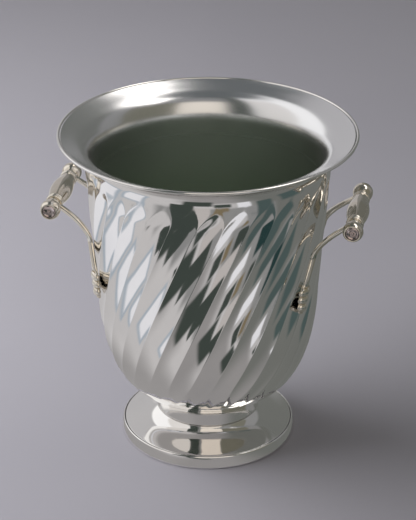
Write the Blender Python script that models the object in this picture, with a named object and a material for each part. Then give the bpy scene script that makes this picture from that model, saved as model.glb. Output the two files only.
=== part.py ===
"""Silver champagne bucket, modelled as the separate pieces it is made from.

A double-walled bucket: a flared outer shell with twisted flutes, a smooth liner hung inside it
from the rim, and a rolled wire that closes the two edges. The shell stands on a collar, a
trumpet foot and a foot band, all drawn together by one bolt. Each handle is a turned grip
between two cast arms, threaded on a tie rod that ends in a finial at each side.

Metres, +Z up. The origin is the centre of the foot on the table, and the handles are on +X and -X.
"""
import math

import bmesh
import bpy
from mathutils import Matrix, Vector
from mathutils.geometry import interpolate_bezier

MM = 0.001

# Clearances
FIT_GAP = 0.3 * MM            # between two pieces that touch
LINER_AIR_GAP = 3.0 * MM      # between the backs of the flutes and the liner

# Rim
RIM_RADIUS = 109.0 * MM       # to the middle of the rim wire
RIM_HEIGHT = 245.8 * MM       # to the middle of the rim wire
RIM_WIRE_RADIUS = 1.2 * MM
LIP_SLOPE = math.radians(30)  # rise of the flared lip where it meets the wire

# Outer shell: its outer line runs lip, throat, belly, base
SHELL_WALL = 1.0 * MM
LINER_WALL = 1.0 * MM
THROAT_RADIUS = 90.2 * MM
LIP_DROP = 23.8 * MM          # from the rim wire down to the throat
THROAT_TAPER = 0.055          # inward run for each unit of drop
BELLY_RADIUS = 83.0 * MM
BELLY_RISE = 85.6 * MM        # from the base up to the belly
BELLY_TAPER = 0.05
BASE_RADIUS = 38.9 * MM
BASE_HEIGHT = 34.4 * MM
BASE_SLOPE = math.radians(20)
LIP_PULL = 14.5 * MM          # Bezier handle lengths along that line
THROAT_PULL = 16.0 * MM
WALL_PULL = 42.0 * MM
BELLY_PULL = 66.0 * MM
BASE_PULL = 20.0 * MM
LIP_STEPS = 4
WALL_STEPS = 4
BOWL_STEPS = 7

# Twisted flutes: shallow scoops that meet in sharp ridges
FLUTE_COUNT = 30
FLUTE_DEPTH = 1.5 * MM
FLUTE_LEAN = math.radians(23.5)     # angle between a ridge and the shell's own slope line
FLUTE_THROAT_ANGLE = math.radians(8.4)    # where the first ridge stands at the throat
FLUTE_TOP_DROP = 20.8 * MM    # from the rim wire down to the first trace of a flute
FLUTE_RUN_IN = 18.0 * MM      # drop over which the flutes reach their depth
FLUTE_END_RISE = 9.0 * MM     # from the base up to the last trace of a flute
FLUTE_RUN_OUT = 33.0 * MM     # rise over which they reach their depth again
COLUMNS_PER_FLUTE = 3

# Foot
COLLAR_HEIGHT = 13.0 * MM
COLLAR_WALL = 2.0 * MM
DOME_LEDGE = 0.9 * MM         # how far the dome's top stands out past the collar
DOME_WALL = 1.2 * MM
DOME_SEAT_WIDTH = 14.9 * MM   # flat top of the dome, from the collar's outside inwards
FOOT_RADIUS = 67.3 * MM       # at the table
BAND_HEIGHT = 9.6 * MM
BAND_FLARE = 1.9 * MM         # the band is this much wider at the table than at its top
BAND_WALL = 1.3 * MM
BAND_STAND = 2.6 * MM         # width of the flat edge that meets the table
BAND_EDGE = 0.5 * MM
DOME_NECK_PULL = 10.0 * MM
DOME_NECK_SPREAD = 0.84       # outward run for each unit of drop, just below the ledge
DOME_EDGE_PULL = 12.0 * MM
DOME_EDGE_SLOPE = math.radians(16)
DOME_STEPS = 5

# Foot fixing
BOLT_RADIUS = 3.0 * MM
BOLT_HEAD_RADIUS = 6.0 * MM
BOLT_HEAD_HEIGHT = 2.6 * MM
BOLT_TAIL = 2.0 * MM          # thread left standing below the nut
NUT_RADIUS = 5.8 * MM
NUT_HEIGHT = 5.0 * MM
PLATE_THICKNESS = 2.0 * MM
PLATE_OVERLAP = 8.0 * MM      # of the clamp plate under the dome's top
SEAT_RING_INSET = 5.9 * MM    # from the base's edge to the ring's outside
SEAT_RING_WIDTH = 8.0 * MM

# Handles
HANDLE_DROP = 55.0 * MM       # from the rim wire down to the grip's axis
FINGER_GAP = 14.9 * MM        # between the shell and the grip's belly
ROD_RADIUS = 2.2 * MM
FINIAL_RADIUS = 7.6 * MM
FINIAL_OFFSET = 34.5 * MM     # from the grip's middle to a finial's middle
FINIAL_NECK_WALL = 1.3 * MM
FINIAL_FACE_RADIUS = 6.0 * MM
FINIAL_BEZEL = 0.9 * MM
FINIAL_RECESS = 1.6 * MM
BALL_STEPS = 6
BUTTON_RISE = 0.9 * MM        # at the button's edge
BUTTON_LIP_RISE = 1.35 * MM
BUTTON_LIP_WIDTH = 0.9 * MM
BUTTON_DISH_RADIUS = 2.4 * MM
BUTTON_DISH_RISE = 0.8 * MM
BUTTON_PIP_RADIUS = 0.9 * MM
BUTTON_PIP_TOP = 0.6 * MM     # radius of the pip's rounded top
BUTTON_PIP_RISE = 1.7 * MM
EYE_WALL = 2.7 * MM
EYE_THICKNESS = 3.6 * MM
RING_RADIUS = 6.5 * MM
RING_GROOVE = 0.8 * MM
RING_LENGTH = 3.4 * MM
RING_BEADS = 2
GRIP_END_RADIUS = 5.9 * MM
GRIP_BELLY_RADIUS = 8.2 * MM
GRIP_FULLNESS = 1.5           # above 1 the belly is short, below 1 it is long
GRIP_STEPS = 8

# Arms: each leaves its eye, bends down to the shell and ends in a ribbed terminal
ARM_LAND_DROP = 25.0 * MM     # from the grip's axis down to where the arm meets the shell
ARM_LAND_SPREAD = 3.7 * MM    # sideways, out from the eye
ARM_TIP_DROP = 67.0 * MM
ARM_TIP_SPREAD = 12.5 * MM
ARM_LEAF_WIDTH = 7.2 * MM
ARM_THICKNESS = 3.8 * MM
ARM_ROOT = 2.1 * MM           # how deep the arm runs into its eye
ARM_LEAVE_PULL = 10.0 * MM
ARM_LEAVE_SLOPE = 0.6         # drop for each unit of run towards the bucket, at the eye
ARM_LAND_PULL = 9.0 * MM
ARM_STEPS = 8
LEAF_START = 0.05             # shares of the bar's length over which it widens into a leaf
LEAF_END = 0.8
STRAP_WIDTH = 6.6 * MM
RIB_COUNT = 3
RIB_LENGTH = 6.0 * MM
RIB_WIDTH = 13.0 * MM
RIB_RISE = 1.5 * MM
RIB_NARROWING = 1.6 * MM      # each rib is this much narrower than the one above it
RIB_CREST_TOP = 1.5 * MM      # from a rib's upper end down to where its crest starts and ends
RIB_CREST_LOW = 3.9 * MM
RIB_NECK = 3.2 * MM           # how much narrower the metal is between two ribs
TIP_WIDTH = 3.5 * MM
TIP_THICKNESS = 1.8 * MM
# Right half of the arm's section, from its flat back to its ridge, as shares of half the width
# and half the thickness
ARM_SECTION = [(0.7, -1.0), (1.0, -0.55), (1.0, 0.05), (0.55, 0.7)]

# Facets around each turned piece
ROUND_SHELL = 48
ROUND_FOOT = 40
ROUND_GRIP = 16
ROUND_SMALL = 12
ROUND_WIRE = 6
ROUND_NUT = 24


def clear_scene():
    for old in list(bpy.data.objects):
        bpy.data.objects.remove(old, do_unlink=True)


def make_material(name, colour, roughness, metallic=1.0):
    material = bpy.data.materials.new(name)
    material.use_nodes = True
    shader = material.node_tree.nodes["Principled BSDF"]
    shader.inputs["Base Color"].default_value = (*colour, 1.0)
    shader.inputs["Roughness"].default_value = roughness
    shader.inputs["Metallic"].default_value = metallic
    material.diffuse_color = (*colour, 1.0)
    return material


def add_object(name, bm, material, parent=None):
    """Close the bmesh into a smooth-shaded object with its faces pointing out."""
    bmesh.ops.remove_doubles(bm, verts=bm.verts, dist=0.00001)
    bmesh.ops.recalc_face_normals(bm, faces=bm.faces)
    if bm.calc_volume(signed=True) < 0:
        bmesh.ops.reverse_faces(bm, faces=bm.faces)
    mesh = bpy.data.meshes.new(name)
    bm.to_mesh(mesh)
    bm.free()
    mesh.shade_smooth()
    mesh.set_sharp_from_angle(angle=math.radians(35))
    made = bpy.data.objects.new(name, mesh)
    made.data.materials.append(material)
    made.parent = parent
    bpy.context.collection.objects.link(made)
    return made


def turn(outline, segments, closed=True):
    """Spin an outline of (radius, height) points once round the Z axis."""
    bm = bmesh.new()
    verts = [bm.verts.new((radius, 0.0, height)) for radius, height in outline]
    pairs = list(zip(verts, verts[1:]))
    if closed:
        pairs.append((verts[-1], verts[0]))
    edges = [bm.edges.new(pair) for pair in pairs]
    bmesh.ops.spin(bm, geom=verts + edges, cent=(0, 0, 0), axis=(0, 0, 1), angle=math.tau,
                   steps=segments, use_duplicate=False)
    bmesh.ops.remove_doubles(bm, verts=bm.verts, dist=0.00001)
    return bm


def curve(start, start_pull, end_pull, end, steps):
    """Bezier stretch of an outline, as (radius, height) points with both ends."""
    points = interpolate_bezier(Vector(start), Vector(start) + Vector(start_pull),
                                Vector(end) + Vector(end_pull), Vector(end), steps + 1)
    return [Vector((point.x, point.y)) for point in points]


def arc(centre_height, radius, start, end, steps):
    """Round stretch of an outline. Angles are measured from the axis, 0 at the top."""
    angles = [start + (end - start) * step / steps for step in range(steps + 1)]
    return [Vector((radius * math.sin(a), centre_height + radius * math.cos(a))) for a in angles]


def outward_normals(points):
    """Unit normals of a line that runs from the rim down, pointing away from the bucket."""
    normals = []
    for index in range(len(points)):
        before = points[max(index - 1, 0)]
        after = points[min(index + 1, len(points) - 1)]
        run = (after - before).normalized()
        normals.append(Vector((-run.y, run.x)))
    return normals


def around_axis(radius, angle, height):
    return Vector((radius * math.cos(angle), radius * math.sin(angle), height))


def smooth_step(value, start, end):
    share = min(max((value - start) / (end - start), 0.0), 1.0)
    return share * share * (3 - 2 * share)


# The bucket's walls

def shell_line():
    """Outer line of the shell over the flutes' ridges, from the lip's edge to the base."""
    along_lip = Vector((math.cos(LIP_SLOPE), math.sin(LIP_SLOPE)))
    below_lip = Vector((math.sin(LIP_SLOPE), -math.cos(LIP_SLOPE)))
    wire = Vector((RIM_RADIUS, RIM_HEIGHT))
    half_stack = (SHELL_WALL + FIT_GAP + LINER_WALL) / 2
    lip = wire - along_lip * (RIM_WIRE_RADIUS + FIT_GAP) + below_lip * half_stack
    throat = Vector((THROAT_RADIUS, RIM_HEIGHT - LIP_DROP))
    belly = Vector((BELLY_RADIUS, BASE_HEIGHT + BELLY_RISE))
    base = Vector((BASE_RADIUS, BASE_HEIGHT))
    up_throat = Vector((THROAT_TAPER, 1.0))
    up_belly = Vector((BELLY_TAPER, 1.0))
    out_base = Vector((math.cos(BASE_SLOPE), math.sin(BASE_SLOPE)))
    flare = curve(lip, along_lip * -LIP_PULL, up_throat * THROAT_PULL, throat, LIP_STEPS)
    wall = curve(throat, up_throat * -WALL_PULL, up_belly * WALL_PULL, belly, WALL_STEPS)
    bowl = curve(belly, up_belly * -BELLY_PULL, out_base * BASE_PULL, base, BOWL_STEPS)
    return flare + wall[1:] + bowl[1:]


def shell_at(height):
    """Radius of the shell over its ridges at a height, and the unit direction up its wall."""
    line = shell_line()
    for upper, lower in zip(line, line[1:]):
        if upper.y >= height >= lower.y:
            share = (upper.y - height) / (upper.y - lower.y)
            return upper.x + (lower.x - upper.x) * share, (upper - lower).normalized()
    return line[-1].x, (line[-2] - line[-1]).normalized()


def radius_beside(height, stand_off):
    """Radius of a spot that stands off the shell's wall by a distance, square to the wall."""
    radius, up_wall = shell_at(height)
    return radius + stand_off / up_wall.y


def flute_turns(line):
    """Angle of the ridges at each point of the line: they lean steadily as they go down."""
    turns = [0.0]
    for upper, lower in zip(line, line[1:]):
        step = (lower - upper).length * math.tan(FLUTE_LEAN) / ((upper.x + lower.x) / 2)
        turns.append(turns[-1] - step)
    return [turned - turns[LIP_STEPS] + FLUTE_THROAT_ANGLE for turned in turns]


def flute_depth(height, across):
    """Depth of the scoop below the ridges. across is -1 and 1 at the ridges, 0 midway."""
    top = RIM_HEIGHT - FLUTE_TOP_DROP
    end = BASE_HEIGHT + FLUTE_END_RISE
    below_top = smooth_step(height, top, top - FLUTE_RUN_IN)
    above_end = smooth_step(height, end, end + FLUTE_RUN_OUT)
    strength = below_top * above_end
    return FLUTE_DEPTH * max(strength - across * across, 0.0)


def bridge(bm, upper, lower):
    count = len(upper)
    for index in range(count):
        after = (index + 1) % count
        bm.faces.new((upper[index], lower[index], lower[after], upper[after]))


def build_outer_shell(material):
    """Fluted wall and flat base, one sheet of even thickness with a bolt hole."""
    line = shell_line()
    normals = outward_normals(line)
    turns = flute_turns(line)
    columns = FLUTE_COUNT * COLUMNS_PER_FLUTE
    bm = bmesh.new()
    outside = []
    inside = []
    for point, normal, turned in zip(line, normals, turns):
        outer_ring = []
        inner_ring = []
        for column in range(columns):
            across = 2 * (column % COLUMNS_PER_FLUTE) / COLUMNS_PER_FLUTE - 1
            depth = flute_depth(point.y, across)
            angle = turned + math.tau * column / columns
            for ring, sink in ((outer_ring, depth), (inner_ring, depth + SHELL_WALL)):
                place = point - normal * sink
                ring.append(bm.verts.new(around_axis(place.x, angle, place.y)))
        outside.append(outer_ring)
        inside.append(inner_ring)
    hole = BOLT_RADIUS + FIT_GAP
    hole_rings = []
    for height in (BASE_HEIGHT, BASE_HEIGHT + SHELL_WALL):
        angles = [turns[-1] + math.tau * column / columns for column in range(columns)]
        hole_rings.append([bm.verts.new(around_axis(hole, angle, height)) for angle in angles])
    rings = outside + [hole_rings[0], hole_rings[1]] + inside[::-1] + [outside[0]]
    for upper, lower in zip(rings, rings[1:]):
        bridge(bm, upper, lower)
    return add_object("outer_shell", bm, material)


def liner_line():
    """Outer line of the liner: it lies on the shell's lip and stands off its flutes below."""
    line = shell_line()
    offset = []
    for point, normal in zip(line, outward_normals(line)):
        hang = smooth_step(point.y, RIM_HEIGHT, RIM_HEIGHT - LIP_DROP)
        stand_off = FIT_GAP + hang * (LINER_AIR_GAP + FLUTE_DEPTH - FIT_GAP)
        offset.append(point - normal * (SHELL_WALL + stand_off))
    return offset


def liner_floor():
    """Height of the liner's underside."""
    return liner_line()[-1].y


def build_inner_liner(material):
    outer = liner_line()
    inner = [point - normal * LINER_WALL for point, normal in zip(outer, outward_normals(outer))]
    floor = liner_floor()
    inner[-1].y = floor + LINER_WALL
    outline = outer + [Vector((0, floor)), Vector((0, floor + LINER_WALL))] + inner[::-1]
    return add_object("inner_liner", turn(outline, ROUND_SHELL), material)


def build_rim_wire(material):
    angles = [math.tau * step / ROUND_WIRE for step in range(ROUND_WIRE)]
    middle = Vector((RIM_RADIUS, RIM_HEIGHT))
    outline = [middle + Vector((math.cos(a), math.sin(a))) * RIM_WIRE_RADIUS for a in angles]
    return add_object("rim_wire", turn(outline, ROUND_SHELL), material)


# The foot

def ring_outline(inner_radius, outer_radius, low, high):
    return [Vector((outer_radius, high)), Vector((outer_radius, low)),
            Vector((inner_radius, low)), Vector((inner_radius, high))]


def collar_low():
    return BASE_HEIGHT - FIT_GAP - COLLAR_HEIGHT


def dome_top():
    return collar_low() - FIT_GAP


def dome_seat_radius():
    return BASE_RADIUS - DOME_SEAT_WIDTH


def plate_low():
    return dome_top() - DOME_WALL - FIT_GAP - PLATE_THICKNESS


def build_liner_seat_ring(material):
    low = BASE_HEIGHT + SHELL_WALL + FIT_GAP
    outer = BASE_RADIUS - SEAT_RING_INSET
    outline = ring_outline(outer - SEAT_RING_WIDTH, outer, low, liner_floor() - FIT_GAP)
    return add_object("liner_seat_ring", turn(outline, ROUND_FOOT), material)


def build_neck_collar(material):
    outline = ring_outline(BASE_RADIUS - COLLAR_WALL, BASE_RADIUS, collar_low(), BASE_HEIGHT - FIT_GAP)
    return add_object("neck_collar", turn(outline, ROUND_FOOT), material)


def build_foot_dome(material):
    """Trumpet-shaped sheet from the collar down to the foot band."""
    top = dome_top()
    neck = Vector((BASE_RADIUS + DOME_LEDGE, top - BAND_EDGE))
    edge_radius = FOOT_RADIUS - BAND_FLARE - BAND_WALL - FIT_GAP
    edge = Vector((edge_radius, BAND_HEIGHT))
    up_edge = Vector((-math.cos(DOME_EDGE_SLOPE), math.sin(DOME_EDGE_SLOPE)))
    down_neck = Vector((DOME_NECK_SPREAD, -1)).normalized()
    sweep = curve(neck, down_neck * DOME_NECK_PULL, up_edge * DOME_EDGE_PULL, edge, DOME_STEPS)
    upper = [Vector((dome_seat_radius(), top)), Vector((neck.x - BAND_EDGE, top))] + sweep
    lower = [point - normal * DOME_WALL for point, normal in zip(sweep, outward_normals(sweep))]
    lower[0] = Vector((BASE_RADIUS, top - DOME_WALL))
    outline = upper + lower[::-1] + [Vector((dome_seat_radius(), top - DOME_WALL))]
    return add_object("foot_dome", turn(outline, ROUND_FOOT), material)


def build_foot_band(material):
    """Upright band that rings the foot and stands on the table."""
    top_radius = FOOT_RADIUS - BAND_FLARE
    inner = top_radius - BAND_WALL
    outline = [
        Vector((inner + BAND_EDGE, BAND_HEIGHT)),
        Vector((top_radius - BAND_EDGE, BAND_HEIGHT)),
        Vector((top_radius, BAND_HEIGHT - BAND_EDGE)),
        Vector((FOOT_RADIUS, BAND_EDGE)),
        Vector((FOOT_RADIUS - BAND_EDGE, 0)),
        Vector((FOOT_RADIUS - BAND_STAND, 0)),
        Vector((inner, BAND_HEIGHT - BAND_WALL)),
    ]
    return add_object("foot_band", turn(outline, ROUND_FOOT), material)


def build_foot_fixing(steel, brass):
    """Bolt, clamp plate and nut that pull the shell, the collar and the dome together."""
    head_low = BASE_HEIGHT + SHELL_WALL + FIT_GAP
    plate = plate_low()
    nut_high = plate - FIT_GAP
    nut_low = nut_high - NUT_HEIGHT
    bolt = [
        Vector((0, head_low + BOLT_HEAD_HEIGHT)),
        Vector((BOLT_HEAD_RADIUS - BAND_EDGE, head_low + BOLT_HEAD_HEIGHT)),
        Vector((BOLT_HEAD_RADIUS, head_low + BOLT_HEAD_HEIGHT - BAND_EDGE)),
        Vector((BOLT_HEAD_RADIUS, head_low)),
        Vector((BOLT_RADIUS, head_low)),
        Vector((BOLT_RADIUS, nut_low - BOLT_TAIL)),
        Vector((0, nut_low - BOLT_TAIL)),
    ]
    hole = BOLT_RADIUS + FIT_GAP
    add_object("foot_bolt", turn(bolt, ROUND_SMALL), steel)
    plate_outline = ring_outline(hole, dome_seat_radius() + PLATE_OVERLAP, plate, plate + PLATE_THICKNESS)
    add_object("foot_clamp_plate", turn(plate_outline, ROUND_FOOT), brass)
    add_object("foot_nut", turn_hex(hole, NUT_RADIUS, nut_low, nut_high), steel)


def turn_hex(hole, radius, low, high):
    """Six-sided nut with a round hole."""
    half_side = math.pi / 6
    bm = bmesh.new()
    rings = []
    for height in (high, low):
        hexagon = []
        bore = []
        for index in range(ROUND_NUT):
            angle = math.tau * index / ROUND_NUT
            from_flat = (angle + half_side) % (2 * half_side) - half_side
            reach = radius * math.cos(half_side) / math.cos(from_flat)
            hexagon.append(bm.verts.new(around_axis(reach, angle, height)))
            bore.append(bm.verts.new(around_axis(hole, angle, height)))
        rings.append((hexagon, bore))
    (top_hexagon, top_bore), (low_hexagon, low_bore) = rings
    order = [top_hexagon, low_hexagon, low_bore, top_bore, top_hexagon]
    for upper, lower in zip(order, order[1:]):
        bridge(bm, upper, lower)
    return bm


# The handles

def handle_height():
    return RIM_HEIGHT - HANDLE_DROP


def handle_reach():
    """Distance from the bucket's axis to the grip's axis."""
    return radius_beside(handle_height(), FINGER_GAP + GRIP_BELLY_RADIUS)


def bore_radius():
    return ROD_RADIUS + FIT_GAP


def finial_neck_radius():
    return bore_radius() + FINIAL_NECK_WALL


def eye_radius():
    return bore_radius() + EYE_WALL


def eye_middle():
    """Distance from the grip's middle to the middle of an arm's eye."""
    return FINIAL_OFFSET - finial_back() - FIT_GAP - EYE_THICKNESS / 2


def finial_back():
    """Distance from a finial's middle to its back, where its neck meets the eye."""
    return math.sqrt(FINIAL_RADIUS ** 2 - finial_neck_radius() ** 2)


def finial_outline():
    """Ball with a bore at the back and a recessed face, its middle at height 0."""
    back = math.pi - math.asin(finial_neck_radius() / FINIAL_RADIUS)
    face = math.asin(FINIAL_FACE_RADIUS / FINIAL_RADIUS)
    ball = arc(0.0, FINIAL_RADIUS, back, face, BALL_STEPS)
    face_height = ball[-1].y
    recess = face_height - FINIAL_RECESS
    inner_face = FINIAL_FACE_RADIUS - FINIAL_BEZEL
    return [
        Vector((bore_radius(), 0.0)),
        Vector((bore_radius(), -finial_back())),
        *ball,
        Vector((inner_face, face_height)),
        Vector((inner_face, recess)),
        Vector((0.0, recess)),
        Vector((0.0, 0.0)),
    ], recess


def button_outline(recess):
    """Dished disc with a small pip, set in a finial's face."""
    low = recess + FIT_GAP
    rim_radius = FINIAL_FACE_RADIUS - FINIAL_BEZEL - FIT_GAP
    return [
        Vector((0.0, low)),
        Vector((rim_radius, low)),
        Vector((rim_radius, low + BUTTON_RISE)),
        Vector((rim_radius - BUTTON_LIP_WIDTH, low + BUTTON_LIP_RISE)),
        Vector((BUTTON_DISH_RADIUS, low + BUTTON_RISE)),
        Vector((BUTTON_PIP_RADIUS, low + BUTTON_DISH_RISE)),
        Vector((BUTTON_PIP_TOP, low + (BUTTON_LIP_RISE + BUTTON_PIP_RISE) / 2)),
        Vector((0.0, low + BUTTON_PIP_RISE)),
    ]


def ring_pair_outline(low):
    """Two small beads side by side, turned from one washer."""
    steps = 2 * RING_BEADS
    outer = []
    for step in range(steps + 1):
        in_groove = step % 2 == 0
        outer.append(Vector((RING_RADIUS - RING_GROOVE * in_groove, low + RING_LENGTH * step / steps)))
    return [Vector((bore_radius(), low))] + outer + [Vector((bore_radius(), low + RING_LENGTH))]


def grip_outline(half_length):
    """Barrel that swells smoothly from its ends to its middle."""
    outer = []
    for step in range(GRIP_STEPS + 1):
        along = 2 * step / GRIP_STEPS - 1
        swell = max(math.cos(along * math.pi / 2), 0.0) ** GRIP_FULLNESS
        radius = GRIP_END_RADIUS + (GRIP_BELLY_RADIUS - GRIP_END_RADIUS) * swell
        outer.append(Vector((radius, along * half_length)))
    return [Vector((bore_radius(), -half_length))] + outer + [Vector((bore_radius(), half_length))]


def lay_along_grip(bm, side, end=1):
    """Turn a piece made round Z so that it lies on the handle's axis, towards +Y or -Y."""
    flip = Matrix.Rotation(-math.pi / 2 * end, 4, "X")
    place = Matrix.Translation((handle_reach(), 0, handle_height()))
    swing = Matrix.Rotation(0 if side > 0 else math.pi, 4, "Z")
    bmesh.ops.transform(bm, matrix=swing @ place @ flip, verts=bm.verts)
    return bm


def shifted(outline, rise):
    return [Vector((point.x, point.y + rise)) for point in outline]


def arm_stations():
    """Middle line of an arm from its eye to its tip, each with a width and a thickness.

    The line is given as angle round the bucket, distance from its axis, and height.
    """
    eye = Vector((handle_reach() - eye_radius() + ARM_ROOT, eye_middle(), handle_height()))
    land_height = handle_height() - ARM_LAND_DROP
    tip_height = handle_height() - ARM_TIP_DROP
    land_radius = radius_beside(land_height, FIT_GAP + ARM_THICKNESS / 2)
    land_angle = math.asin((eye_middle() + ARM_LAND_SPREAD) / land_radius)
    tip_angle = math.asin((eye_middle() + ARM_TIP_SPREAD) / radius_beside(tip_height, TIP_THICKNESS))
    land = around_axis(land_radius, land_angle, land_height)
    up_wall = shell_at(land_height)[1]
    above_land = around_axis(up_wall.x, land_angle, up_wall.y)
    leave = Vector((-ARM_LEAVE_PULL, 0, -ARM_LEAVE_PULL * ARM_LEAVE_SLOPE))
    middle = interpolate_bezier(eye, eye + leave, land + above_land * ARM_LAND_PULL, land, ARM_STEPS)
    stations = []
    for index, point in enumerate(middle):
        share = index / (len(middle) - 1)
        width = EYE_THICKNESS + (ARM_LEAF_WIDTH - EYE_THICKNESS) * smooth_step(share, LEAF_START, LEAF_END)
        angle = math.atan2(point.y, point.x)
        stations.append((angle, math.hypot(point.x, point.y), point.z, width, ARM_THICKNESS))
    ribs_from = tip_height + RIB_COUNT * RIB_LENGTH + RIB_LENGTH / 2
    strap = [
        ((land_height + ribs_from) / 2, STRAP_WIDTH, ARM_THICKNESS),
        (ribs_from, STRAP_WIDTH, ARM_THICKNESS),
    ]
    for rib in range(RIB_COUNT):
        width = RIB_WIDTH - RIB_NARROWING * rib
        top = ribs_from - rib * RIB_LENGTH
        strap.append((top - RIB_CREST_TOP, width, ARM_THICKNESS + RIB_RISE))
        strap.append((top - RIB_CREST_LOW, width, ARM_THICKNESS + RIB_RISE))
        strap.append((top - RIB_LENGTH, width - RIB_NECK, ARM_THICKNESS))
    strap.append((tip_height, TIP_WIDTH, TIP_THICKNESS))
    for height, width, thickness in strap:
        share = (land_height - height) / (land_height - tip_height)
        angle = tip_angle + (land_angle - tip_angle) * (1 - share) ** 2
        stations.append((angle, radius_beside(height, FIT_GAP + thickness / 2), height, width, thickness))
    return stations


def arm_section(station, run):
    """Points round the middle line: a flat back that faces the bucket, a ridged front."""
    angle, distance, height, width, thickness = station
    middle = around_axis(distance, angle, height)
    across = Vector((-math.sin(angle), math.cos(angle), 0))
    out = run.cross(across).normalized()
    half = across * width / 2
    deep = out * thickness / 2
    left = [(-side, rise) for side, rise in ARM_SECTION[::-1]]
    return [middle + half * side + deep * rise for side, rise in ARM_SECTION + [(0.0, 1.0)] + left]


def build_arm(name, side, end, material):
    """Cast arm: a swept bar and ribbed terminal, joined to the eye that the tie rod passes."""
    stations = arm_stations()
    places = [around_axis(distance, angle, height) for angle, distance, height, _, _ in stations]
    bm = bmesh.new()
    rings = []
    for index, station in enumerate(stations):
        run = places[min(index + 1, len(places) - 1)] - places[max(index - 1, 0)]
        rings.append([bm.verts.new(point) for point in arm_section(station, run)])
    for upper, lower in zip(rings, rings[1:]):
        bridge(bm, upper, lower)
    bm.faces.new(rings[0])
    bm.faces.new(rings[-1])
    place_arm(bm, side, end)
    arm = add_object(name, bm, material)
    half_eye = EYE_THICKNESS / 2
    eye_bm = turn(ring_outline(bore_radius(), eye_radius(), -half_eye, half_eye), ROUND_SMALL)
    lie = Matrix.Rotation(math.pi / 2, 4, "X")
    place = Matrix.Translation((handle_reach(), eye_middle(), handle_height()))
    bmesh.ops.transform(eye_bm, matrix=place @ lie, verts=eye_bm.verts)
    place_arm(eye_bm, side, end)
    eye = add_object(name + "_eye_guide", eye_bm, material)
    eye.hide_render = True
    eye.display_type = "WIRE"
    join = arm.modifiers.new("eye", "BOOLEAN")
    join.operation = "UNION"
    join.object = eye
    return arm


def place_arm(bm, side, end):
    """Mirror an arm to the back end of the grip, then swing it to its own side."""
    if end > 0 > side or side > 0 > end:
        bmesh.ops.scale(bm, vec=(1, -1, 1), verts=bm.verts)
    swing = Matrix.Rotation(0 if side > 0 else math.pi, 4, "Z")
    bmesh.ops.transform(bm, matrix=swing, verts=bm.verts)


def build_handle(prefix, side, metals):
    """Grip, two ring pairs, rod, two finials with their buttons, and two arms."""
    silver, gilt = metals
    eye_front = eye_middle() - EYE_THICKNESS / 2
    ring_low = eye_front - FIT_GAP - RING_LENGTH
    grip_half = ring_low - FIT_GAP
    grip = lay_along_grip(turn(grip_outline(grip_half), ROUND_GRIP), side)
    add_object(prefix + "_grip", grip, silver)
    rod_half = FINIAL_OFFSET - FIT_GAP
    rod = lay_along_grip(turn(ring_outline(0, ROD_RADIUS, -rod_half, rod_half), ROUND_SMALL), side)
    add_object(prefix + "_tie_rod", rod, gilt)
    for place, end in (("back", 1), ("front", -1)):
        local_end = end * side
        ring = lay_along_grip(turn(ring_pair_outline(ring_low), ROUND_SMALL), side, local_end)
        add_object(f"{prefix}_ring_{place}", ring, silver)
        ball, recess = finial_outline()
        finial = lay_along_grip(turn(shifted(ball, FINIAL_OFFSET), ROUND_GRIP), side, local_end)
        add_object(f"{prefix}_finial_{place}", finial, silver)
        disc = turn(shifted(button_outline(recess), FINIAL_OFFSET), ROUND_SMALL)
        button = lay_along_grip(disc, side, local_end)
        add_object(f"{prefix}_button_{place}", button, gilt)
        build_arm(f"{prefix}_arm_{place}", side, end, silver)


def main():
    clear_scene()
    bright = make_material("polished_silver", (0.83, 0.82, 0.80), 0.07)
    satin = make_material("satin_liner", (0.62, 0.64, 0.60), 0.30)
    warm = make_material("cast_silver", (0.82, 0.79, 0.71), 0.12)
    brass = make_material("brass_backing", (0.72, 0.58, 0.32), 0.30)
    steel = make_material("steel_fixing", (0.55, 0.55, 0.56), 0.35)
    cork = make_material("cork_seat", (0.52, 0.36, 0.22), 0.85, metallic=0.0)
    build_outer_shell(bright)
    build_inner_liner(satin)
    build_rim_wire(bright)
    build_liner_seat_ring(cork)
    build_neck_collar(bright)
    build_foot_dome(bright)
    build_foot_band(bright)
    build_foot_fixing(steel, brass)
    build_handle("right", 1, (warm, brass))
    build_handle("left", -1, (warm, brass))


main()
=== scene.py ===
# %% [markdown]
# # A silver champagne bucket
#
# The real bucket is sheet silver: a fluted outer shell, a plain liner hung inside it, and a rolled
# wire that hides their two edges. It stands on a trumpet foot, and two turned handles are carried
# by cast arms. The working model already fixes where every piece sits, so this file only has to
# make each surface fine enough for polished metal, which shows every facet that it reflects in.

# %% Load the frame
import math

import bmesh
import bpy
from mathutils import Matrix, Vector
from mathutils.geometry import interpolate_bezier


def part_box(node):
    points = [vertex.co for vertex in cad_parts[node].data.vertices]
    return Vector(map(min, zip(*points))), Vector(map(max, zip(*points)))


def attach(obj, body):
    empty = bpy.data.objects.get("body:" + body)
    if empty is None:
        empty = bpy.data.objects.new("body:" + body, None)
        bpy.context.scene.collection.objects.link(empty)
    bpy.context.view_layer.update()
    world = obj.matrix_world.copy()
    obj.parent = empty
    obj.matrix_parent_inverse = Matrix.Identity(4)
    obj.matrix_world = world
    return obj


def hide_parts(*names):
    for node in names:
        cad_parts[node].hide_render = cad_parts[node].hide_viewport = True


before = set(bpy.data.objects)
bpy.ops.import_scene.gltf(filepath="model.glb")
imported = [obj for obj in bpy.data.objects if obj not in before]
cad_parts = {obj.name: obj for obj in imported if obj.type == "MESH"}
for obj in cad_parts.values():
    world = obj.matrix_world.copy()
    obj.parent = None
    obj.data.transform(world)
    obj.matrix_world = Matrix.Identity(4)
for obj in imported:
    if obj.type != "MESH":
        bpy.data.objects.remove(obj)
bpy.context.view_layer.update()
MM = 0.001
scene = bpy.context.scene

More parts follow.
